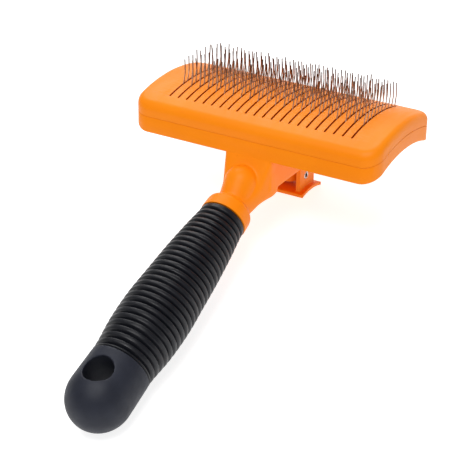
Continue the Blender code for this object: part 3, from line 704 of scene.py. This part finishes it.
def spring_seat():
    """Flat seat under the head's floor, with a stud that keeps the spring in place."""
    stud_end = SPRING_SEAT - STUD_LENGTH
    return turned([(stud_end, 0.0), (stud_end, 2.0 * MM), (SPRING_SEAT, 2.2 * MM),
                   (SPRING_SEAT, SEAT_RADIUS), (SEAT_TOP, SEAT_RADIUS), (SEAT_TOP, 0.0)],
                  upright(0.0, STEM_Y))


def cover_screw_places():
    return [(x, y) for y in BOSS_ROWS for x in (-BOSS_X, BOSS_X)]


def shell_openings():
    """Passages for the face plate's legs, and the holes of both kinds of screw."""
    x_range = (-LEG_OPENING_HALF_WIDTH, LEG_OPENING_HALF_WIDTH)
    outer = HEAD_WALL + 0.1 * MM
    builder = boxes(
        (x_range, (HEAD_FRONT + outer, -LEG_OPENING_INNER), LEG_OPENING_HEIGHTS),
        (x_range, (LEG_OPENING_INNER, HEAD_REAR - outer), LEG_OPENING_HEIGHTS))
    for y in CARRIER_SCREW_ROWS:
        floor = arch_z(y, FLOOR_TOP)
        for x in (-CARRIER_SCREW_X, CARRIER_SCREW_X):
            hole = rod(CARRIER_SCREW_HOLE, (floor - 1.5 * MM, floor + 1.0 * MM))
            add_turned(builder, hole, upright(x, y), HOLE_STEPS)
    for x, y in cover_screw_places():
        hole = rod(COVER_SCREW_HOLE, (COVER_TOP - 1.0 * MM, COVER_TOP + 6.5 * MM))
        add_turned(builder, hole, upright(x, y), HOLE_STEPS)
    return builder


def add_shell(material):
    """Tray of the head, housing, neck, collar and handle tang, moulded in one."""
    shell = solid("shell", housing_block())
    for block in (neck(), ball(), collar()):
        combine(shell, "UNION", block)
    soften(shell, 0.4 * MM, 9)
    combine(shell, "DIFFERENCE", turned(rod(20.0 * MM, (0.0, 6.0 * MM)), handle_axes()))
    combine(shell, "UNION", turned(rod(TANG_RADIUS, (-2.0 * MM, TANG_LENGTH)), handle_axes()))
    rim = PARTING_HEIGHT - PARTING_GAP / 2
    levels = rounded_bottom(HEAD_BOTTOM_FILLET, HEAD_BOTTOM, underside)
    levels += [(0.0, arched(rim - PARTING_EDGE)), (PARTING_EDGE, arched(rim)),
               (HEAD_WALL, arched(rim)), (HEAD_WALL, arched(FLOOR_TOP))]
    combine(shell, "UNION", layered(head_outline(), levels))
    inner = HOUSING_HALF_WIDTH - HOUSING_WALL
    hollow = solid("hollow", layered(
        (inner, HEAD_FRONT + HEAD_WALL, HOUSING_REAR - HOUSING_WALL, 1.0 * MM),
        [(0.0, flat(HOUSING_BOTTOM - 0.5 * MM)), (0.0, arched(HOUSING_ROOF))]))
    combine(hollow, "DIFFERENCE", cover_bosses())
    combine(hollow, "DIFFERENCE", spring_seat())
    cavity = bmesh.new()
    cavity.from_mesh(hollow.data)
    bpy.data.objects.remove(hollow, do_unlink=True)
    combine(shell, "DIFFERENCE", cavity)
    combine(shell, "DIFFERENCE", shell_openings())
    place(shell, material, "brush", "orange_plastic", "back_shell")


# ---------------------------------------------------------------- face plate

def lift_leg_rows():
    """Front and rear faces of the face plate's two legs."""
    front = HEAD_FRONT + HEAD_WALL + GAP
    rear = HEAD_REAR - HEAD_WALL - GAP
    return (front, front + LIFT_LEG_THICKNESS), (rear - LIFT_LEG_THICKNESS, rear)


def slot_cutters():
    """Round-ended slots that open out a little at the face."""
    half = SLOT_WIDTH / 2
    levels = [(0.0, arched(-5.0 * MM)), (0.0, arched(-SLOT_FLARE))]
    levels += [(-0.3 * SLOT_FLARE, arched(-0.3 * SLOT_FLARE)), (-SLOT_FLARE, arched(0.0)),
               (-2.0 * SLOT_FLARE, arched(SLOT_FLARE))]
    builder = bmesh.new()
    for column in range(SLOT_COUNT):
        outline = (half, SLOT_FRONT, SLOT_REAR, half)
        add_layered(builder, outline, levels, 2.0 * MM, column_x(column))
    bmesh.ops.remove_doubles(builder, verts=builder.verts, dist=1e-7)
    return builder


def mark_recesses(mesh):
    """Vertex value that is 1 on the walls of the slots, where painted shade darkens the plastic."""
    recess = mesh.attributes.new("recess", "FLOAT", "POINT")
    half_length = column_x(SLOT_COUNT - 1) + SLOT_WIDTH
    for vertex, value in zip(mesh.vertices, recess.data):
        x, y, z = vertex.co
        within = abs(x) < half_length and SLOT_FRONT - SLOT_WIDTH < y < SLOT_REAR + SLOT_WIDTH
        value.value = 1.0 if within and z < arch_z(y, -0.5 * SLOT_FLARE) else 0.0


def add_slotted_plate(material):
    """Slotted face plate with a skirt all round and two legs that hang into the housing."""
    rim = PARTING_HEIGHT + PARTING_GAP / 2
    levels = [(HEAD_WALL, arched(-PLATE_THICKNESS)), (HEAD_WALL, arched(rim)),
              (PARTING_EDGE, arched(rim)), (0.0, arched(rim + PARTING_EDGE))]
    levels += rounded_top(EDGE_FILLET, 0.0)
    plate = solid("slotted_plate", layered(head_outline(), levels))
    half = LIFT_LEG_HALF_WIDTH
    combine(plate, "UNION", boxes(*[((-half, half), y_range, (LIFT_LEG_BOTTOM, -5.0 * MM))
                                    for y_range in lift_leg_rows()]))
    window = BAR_HALF_WIDTH + GAP
    combine(plate, "DIFFERENCE", boxes(*[((-window, window), (front - 1.0 * MM, rear + 1.0 * MM),
                                          (BAR_BOTTOM - GAP, BAR_TOP + GAP))
                                         for front, rear in lift_leg_rows()]))
    combine(plate, "DIFFERENCE", slot_cutters())
    # marks the slot walls that get the painted shade
    mark_recesses(plate.data)
    place(plate, material, "presser", "orange_plastic", "face_plate")


# ---------------------------------------------------------------- pins

def wire_path(x, base, random_source):
    """Points of one bent wire from behind the carrier to its tip, each pin a little different."""
    lean = PIN_LEAN + math.radians(random_source.uniform(*PIN_LEAN_ERROR))
    top_lean = PIN_TOP_LEAN + math.radians(random_source.uniform(*PIN_TOP_LEAN_ERROR))
    sway = random_source.uniform(-PIN_SWAY, PIN_SWAY)
    top_sway = random_source.uniform(-PIN_TOP_SWAY, PIN_TOP_SWAY)
    knee_height = PIN_LOWER_LENGTH - random_source.uniform(*PIN_SHORTER_BELOW) * MM
    top = PIN_LOWER_LENGTH + PIN_UPPER_LENGTH - random_source.uniform(*PIN_SHORTER_ABOVE) * MM
    face = arch_z(base, 0.0)
    foot = arch_z(base, BRIDGE_HEIGHT)
    points = [Vector((x, base + (foot - face) * math.tan(PIN_LEAN), foot))]

    def below(height):
        return Vector((x + sway * height, base + height * math.tan(lean), face + height))

    knee = below(knee_height)

    def above(height):
        rise = height - knee_height
        return knee + Vector((top_sway * rise, rise * math.tan(top_lean), rise))

    points += [below(0.0), below(knee_height * 0.5)]
    for i in range(5):
        t = i / 4
        start, end = below(knee_height - KNEE_RADIUS), above(knee_height + KNEE_RADIUS)
        points.append((1 - t) ** 2 * start + 2 * t * (1 - t) * knee + t ** 2 * end)
    points += [above((knee_height + top) / 2), above(top - 0.25 * MM), above(top)]
    return points, (face, top)


def add_wire(builder, layer, points, heights):
    """Round wire along points, with a blunt tip."""
    face, top = heights
    radii = [PIN_WIRE_RADIUS] * (len(points) - 1) + [0.55 * PIN_WIRE_RADIUS]
    rings = []
    for i, (point, radius) in enumerate(zip(points, radii)):
        along = (points[min(i + 1, len(points) - 1)] - points[max(i - 1, 0)]).normalized()
        side = Vector((1.0, 0.0, 0.0))
        out = along.cross(side).normalized()
        ring = []
        for corner in range(WIRE_SIDES):
            angle = math.tau * corner / WIRE_SIDES
            spoke = math.cos(angle) * side + math.sin(angle) * out
            vertex = builder.verts.new(point + radius * spoke)
            vertex[layer] = min(max((point.z - face) / top, 0.0), 1.0)
            ring.append(vertex)
        rings.append(ring)
    bridge_rings(builder, rings)
    for ring in (rings[0], rings[-1]):
        builder.faces.new(ring)


def add_wire_columns(material):
    """The bent pins, one piece for each slot."""
    random_source = random.Random(PIN_SEED)
    for column in range(SLOT_COUNT):
        builder = bmesh.new()
        layer = builder.verts.layers.float.new("wire_height")
        for row in range(PIN_ROWS):
            base = PIN_FIRST_ROW + PIN_ROW_PITCH * row
            add_wire(builder, layer, *wire_path(column_x(column), base, random_source))
        wires = solid(f"wire_column_{column + 1:02d}", builder)
        place(wires, material, "brush", "pin_wire", f"pin_column_{column + 1:02d}")


# ---------------------------------------------------------------- housing cover and screws

def add_cover(material):
    """Cover of the housing, open for the button's legs, the stem and the hollow pin."""
    inner = HOUSING_HALF_WIDTH - HOUSING_WALL - GAP
    outline = (inner, HEAD_FRONT + HEAD_WALL + GAP, HOUSING_REAR - HOUSING_WALL - GAP, 0.8 * MM)
    edge = 0.25 * MM
    cover = solid("cover", layered(outline, [
        (edge, flat(COVER_BOTTOM)), (0.0, flat(COVER_BOTTOM + edge)), (0.0, flat(COVER_TOP))]))
    z_range = (COVER_BOTTOM - 1.0 * MM, COVER_TOP + 1.0 * MM)
    combine(cover, "DIFFERENCE", mirrored_boxes(
        (BUTTON_LEG_INNER - GAP, BUTTON_LEG_OUTER + GAP),
        (BUTTON_LEG_FRONT - GAP, BUTTON_LEG_REAR + GAP), z_range))
    slot_half, slot_reach = CROSS_PIN_HALF_LENGTH + GAP, CROSS_PIN_RADIUS + GAP
    combine(cover, "DIFFERENCE", boxes(
        ((-slot_half, slot_half), (STEM_Y - slot_reach, STEM_Y + slot_reach), z_range)))
    combine(cover, "DIFFERENCE", turned(rod(STEM_RADIUS + GAP, z_range), upright(0.0, STEM_Y)))
    holes = bmesh.new()
    step = COVER_BOTTOM + COUNTERBORE_DEPTH
    profile = [(z_range[0], 0.0), (z_range[0], COUNTERBORE_RADIUS), (step, COUNTERBORE_RADIUS),
               (step, COVER_SCREW_HOLE), (z_range[1], COVER_SCREW_HOLE), (z_range[1], 0.0)]
    for x, y in cover_screw_places():
        add_turned(holes, profile, upright(x, y), SCREW_STEPS)
    combine(cover, "DIFFERENCE", holes)
    place(cover, material, "brush", "orange_plastic", "housing_cover")


def add_cover_screws(material):
    """Round-headed screws with a cross recess, heads down in the cover's counterbores."""
    seat = COVER_BOTTOM + COUNTERBORE_DEPTH - GAP
    for number, (x, y) in enumerate(cover_screw_places(), 1):
        screw = solid(f"recessed_screw_{number}", turned(
            [(COVER_TOP + 6.2 * MM, 0.0), (COVER_TOP + 6.2 * MM, 0.8 * MM), (seat, 0.8 * MM),
             (seat, 1.4 * MM), (seat - 0.6 * MM, 1.36 * MM), (seat - 0.85 * MM, 1.1 * MM),
             (seat - 0.97 * MM, 0.6 * MM), (seat - 1.0 * MM, 0.0)], upright(x, y), SCREW_STEPS))
        z_range = (seat - 1.5 * MM, seat - 0.45 * MM)
        for half_x, half_y in ((0.75 * MM, 0.16 * MM), (0.16 * MM, 0.75 * MM)):
            groove = boxes(((x - half_x, x + half_x), (y - half_y, y + half_y), z_range))
            combine(screw, "DIFFERENCE", groove)
        place(screw, material, "brush", "bright_steel", f"cover_screw_{number}")


# ---------------------------------------------------------------- lifter, spring and button

def cross_hole():
    """Cutter for the hollow pin's hole, longer than the pieces that it goes through."""
    hole = rod(CROSS_PIN_RADIUS + 0.1 * MM, (-12.0 * MM, 12.0 * MM))
    return turned(hole, across(STEM_Y, CROSS_PIN_Z))


def add_push_lifter(material):
    """Bar through the face plate's legs, with the hollow push stem below it."""
    (front, _), (_, rear) = lift_leg_rows()
    lifter = solid("push_lifter", boxes(
        ((-BAR_HALF_WIDTH, BAR_HALF_WIDTH), (front + GAP, rear - GAP), (BAR_BOTTOM, BAR_TOP))))
    edge = 0.4 * MM
    stem_top = BAR_TOP - 0.2 * MM
    stem = [(STEM_BOTTOM, 0.0), (STEM_BOTTOM, STEM_RADIUS - edge),
            (STEM_BOTTOM + edge, STEM_RADIUS), (stem_top, STEM_RADIUS), (stem_top, 0.0)]
    combine(lifter, "UNION", turned(stem, upright(0.0, STEM_Y)))
    bore = rod(STEM_BORE, (STEM_BORE_BOTTOM, BAR_TOP + 1.0 * MM))
    combine(lifter, "DIFFERENCE", turned(bore, upright(0.0, STEM_Y)))
    combine(lifter, "DIFFERENCE", cross_hole())
    place(lifter, material, "presser", "orange_plastic", "lifter")


def add_coil_spring(material):
    """Coil spring from its seat under the head's floor."""
    top = SPRING_SEAT - SPRING_WIRE - GAP
    bottom = STEM_BORE_BOTTOM + SPRING_WIRE + GAP
    count = SPRING_TURNS * SPRING_STEPS
    up = Vector((0.0, 0.0, 1.0))
    builder = bmesh.new()
    rings = []
    for i in range(count + 1):
        angle = math.tau * i / SPRING_STEPS
        out = Vector((math.cos(angle), math.sin(angle), 0.0))
        centre = Vector((0.0, STEM_Y, bottom + (top - bottom) * i / count)) + SPRING_RADIUS * out
        spokes = [math.cos(math.tau * k / WIRE_SIDES) * out + math.sin(math.tau * k / WIRE_SIDES) * up
                  for k in range(WIRE_SIDES)]
        rings.append([builder.verts.new(centre + SPRING_WIRE * spoke) for spoke in spokes])
    bridge_rings(builder, rings)
    for ring in (rings[0], rings[-1]):
        builder.faces.new(ring)
    spring = solid("coil_spring", builder)
    place(spring, material, "brush", "bright_steel", "return_spring")
    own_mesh(spring)


def thumb_plate():
    """Curved plate under the thumb: two arcs about one centre, drawn out across the head."""
    centre_z = BUTTON_CROWN_Z - BUTTON_ARC
    rows = 24
    builder = bmesh.new()
    rings = []
    for i in range(rows + 1):
        y = BUTTON_FRONT + (BUTTON_REAR - BUTTON_FRONT) * i / rows
        low, high = [centre_z + math.sqrt(radius ** 2 - (y - BUTTON_CROWN_Y) ** 2)
                     for radius in (BUTTON_ARC, BUTTON_ARC + BUTTON_THICKNESS)]
        rings.append([builder.verts.new((x, y, z))
                      for x, z in ((-BUTTON_HALF_WIDTH, low), (BUTTON_HALF_WIDTH, low),
                                   (BUTTON_HALF_WIDTH, high), (-BUTTON_HALF_WIDTH, high))])
    bridge_rings(builder, rings)
    for ring in (rings[0], rings[-1]):
        builder.faces.new(ring)
    return builder


def add_button(material):
    """Curved thumb plate with two legs that the cross pin goes through."""
    button = solid("button", thumb_plate())
    combine(button, "UNION", mirrored_boxes(
        (BUTTON_LEG_INNER, BUTTON_LEG_OUTER), (BUTTON_LEG_FRONT, BUTTON_LEG_REAR),
        (BUTTON_CROWN_Z + 0.6 * MM, BUTTON_LEG_TOP)))
    soften(button, 0.25 * MM, 3)
    combine(button, "DIFFERENCE", cross_hole())
    place(button, material, "presser", "orange_plastic", "thumb_button")


def add_pivot_pin(material):
    """Hollow pin with turned-over ends."""
    end, edge = CROSS_PIN_HALF_LENGTH, 0.25 * MM
    profile = [(-end, CROSS_PIN_BORE + edge), (-end, CROSS_PIN_RADIUS - edge),
               (-end + edge, CROSS_PIN_RADIUS), (end - edge, CROSS_PIN_RADIUS),
               (end, CROSS_PIN_RADIUS - edge), (end, CROSS_PIN_BORE + edge),
               (end - edge, CROSS_PIN_BORE), (-end + edge, CROSS_PIN_BORE)]
    builder = bmesh.new()
    axes = across(STEM_Y, CROSS_PIN_Z)
    rings = [add_ring(builder, axes, *point, ROUND_STEPS) for point in profile]
    bridge_rings(builder, rings + rings[:1])
    place(solid("pivot_pin", builder), material, "presser", "bright_steel", "cross_pin")


# ---------------------------------------------------------------- grip

def sleeve_radius(along):
    """Radius of the ribbed sleeve: a smooth barrel with rounded ribs between narrow grooves."""
    share = min(max(along / RIBBED_LENGTH, 0.0), 1.0)
    barrel = spline(GRIP_RADII, share * (len(GRIP_RADII) - 1))
    if along < FIRST_BAND - 0.5 * rib_pitch():
        return barrel
    phase = (along - FIRST_BAND) / rib_pitch()
    return barrel - RIB_DEPTH * abs(math.cos(math.pi * phase)) ** GROOVE_SHARPNESS


def rib_pitch():
    return (RIBBED_LENGTH - FIRST_BAND) / RIB_COUNT


def add_grip_sleeve(material):
    """Ribbed part of the rubber grip, hollow for the tang."""
    bore = TANG_RADIUS + GAP
    per_rib = 12
    end = RIBBED_LENGTH + 0.5 * rib_pitch()
    count = round(end / rib_pitch() * per_rib)
    profile = [(end, bore), (GAP, bore), (GAP, GRIP_RADII[0] - 0.35 * MM)]
    places = [GAP + SLEEVE_EDGE + (end - GAP - 2.0 * SLEEVE_EDGE) * i / count
              for i in range(count + 1)]
    profile += [(along, sleeve_radius(along)) for along in places]
    profile += [(end, GRIP_RADII[-1] - 0.35 * MM)]
    builder = bmesh.new()
    rings = [add_ring(builder, handle_axes(), *point, GRIP_STEPS) for point in profile]
    bridge_rings(builder, rings + rings[:1])
    place(solid("grip_sleeve", builder), material, "brush", "grip_rubber", "rubber_grip")


def add_grip_cap(material):
    """Smooth rounded end with the hang hole, its edges softly rounded."""
    start = RIBBED_LENGTH + 0.5 * rib_pitch()
    bore, bottom = TANG_RADIUS + GAP, TANG_LENGTH + GAP
    centre = GRIP_LENGTH - GRIP_END_LENGTH
    hidden, neck_radius = start - 2.0 * MM, 9.5 * MM
    shoulder = start + 0.05 * MM
    profile = [(bottom, 0.0), (bottom, bore), (hidden, bore), (hidden, neck_radius),
               (shoulder, neck_radius), (shoulder, GRIP_RADII[-1] - 0.3 * MM),
               (start + 0.4 * MM, GRIP_RADII[-1] + 0.05 * MM)]
    steps = 32
    profile += [(centre + GRIP_END_LENGTH * math.sin(math.pi / 2 * i / steps),
                 GRIP_END_RADIUS * math.cos(math.pi / 2 * i / steps) if i < steps else 0.0)
                for i in range(steps + 1)]
    cap = solid("grip_cap", turned(profile, handle_axes(), CAP_STEPS))
    hole_axes = Matrix.Translation(handle_axes() @ Vector((0.0, 0.0, HANG_HOLE_PLACE)))
    hole_axes @= Matrix.Rotation(HANDLE_TILT, 4, "X")
    hole = rod(HANG_HOLE_RADIUS, (-20.0 * MM, 20.0 * MM))
    combine(cap, "DIFFERENCE", turned(hole, hole_axes, FINE_STEPS))
    soften(cap, 0.35 * MM, 10)
    place(cap, material, "brush", "grip_rubber", "rubber_grip")


# ---------------------------------------------------------------- camera, light and floor

def add_camera():
    """Camera that looks at its target from above the end of the grip."""
    forward = Vector((-math.sin(CAMERA_AZIMUTH) * math.cos(CAMERA_ELEVATION),
                      math.cos(CAMERA_AZIMUTH) * math.cos(CAMERA_ELEVATION),
                      -math.sin(CAMERA_ELEVATION)))
    level = Vector((math.cos(CAMERA_AZIMUTH), math.sin(CAMERA_AZIMUTH), 0.0))
    above = level.cross(forward)
    right = math.cos(CAMERA_ROLL) * level + math.sin(CAMERA_ROLL) * above
    up = math.cos(CAMERA_ROLL) * above - math.sin(CAMERA_ROLL) * level
    turn = Matrix((right, up, -forward)).transposed().to_4x4()
    camera = bpy.data.objects.new("camera", bpy.data.cameras.new("camera"))
    bpy.context.scene.collection.objects.link(camera)
    camera.data.lens = CAMERA_LENS
    camera.data.clip_start = 0.01
    position = CAMERA_TARGET - CAMERA_DISTANCE * forward
    camera.matrix_world = HEAD @ Matrix.Translation(position) @ turn
    bpy.context.scene.camera = camera


def add_soft_light(name, position, size, power):
    """Square softbox aimed at the middle of the brush."""
    light = bpy.data.lights.new(name, "AREA")
    light.size = size
    light.energy = power
    lamp = bpy.data.objects.new(name, light)
    bpy.context.scene.collection.objects.link(lamp)
    lamp.location = position
    aim = LIGHT_TARGET - lamp.location
    lamp.rotation_mode = "QUATERNION"
    lamp.rotation_quaternion = aim.to_track_quat("-Z", "Y")


def add_studio():
    """White surroundings, two softboxes and a pale floor that glows a little."""
    scene = bpy.context.scene
    world = bpy.data.worlds.new("studio")
    world.use_nodes = True
    background = world.node_tree.nodes["Background"]
    background.inputs["Color"].default_value = (1.0, 1.0, 1.0, 1.0)
    background.inputs["Strength"].default_value = WORLD_STRENGTH
    scene.world = world
    scene.view_settings.view_transform = "Standard"
    add_soft_light("key", KEY_PLACE, KEY_SIZE, KEY_POWER)
    add_soft_light("rear_fill", FILL_PLACE, FILL_SIZE, FILL_POWER)
    material, tree, shader = new_material("floor", roughness=0.9)
    grain = remap(tree, noise(tree, 6.0, 2.0), MIDDLE, WHOLE)
    tree.links.new(blend_colours(tree, grain, *FLOOR), shader.inputs["Base Color"])
    shader.inputs["Specular IOR Level"].default_value = 0.0
    shader.inputs["Emission Color"].default_value = (1.0, 1.0, 1.0, 1.0)
    shader.inputs["Emission Strength"].default_value = FLOOR_GLOW
    builder = bmesh.new()
    bmesh.ops.create_grid(builder, x_segments=1, y_segments=1, size=FLOOR_SIZE)
    floor = solid("floor", builder)
    floor.data.materials.append(material)


# ---------------------------------------------------------------- build

def dress_hidden_nodes(carrier, backing, steel):
    """Better materials for the CAD nodes that stay: carrier, backing sheet and carrier screws."""
    dressed = {"pin_carrier": carrier, "pin_backing": backing}
    dressed.update({f"carrier_screw_{number}": steel for number in range(1, 5)})
    for node, material in dressed.items():
        mesh = frame["nodes"][node].data
        mesh.materials.clear()
        mesh.materials.append(material)


def build():
    orange = orange_plastic()
    steel = bright_steel()
    ribs = rubber("ribbed_rubber", RIBBED_RUBBER, (0.34, 0.46), 0.012 * MM)
    smooth = rubber("smooth_rubber", SMOOTH_RUBBER, (0.50, 0.60), 0.02 * MM)
    carrier = plain_moulding("carrier_plastic", CARRIER_PLASTIC, (0.42, 0.58))
    backing = plain_moulding("backing_rubber", BACKING_RUBBER, (0.7, 0.88))
    add_shell(orange)
    add_slotted_plate(orange)
    add_wire_columns(pin_wire())
    add_cover(orange)
    add_cover_screws(steel)
    add_push_lifter(orange)
    add_coil_spring(steel)
    add_button(orange)
    add_pivot_pin(steel)
    add_grip_sleeve(ribs)
    add_grip_cap(smooth)
    dress_hidden_nodes(carrier, backing, steel)
    add_studio()
    add_camera()


build()
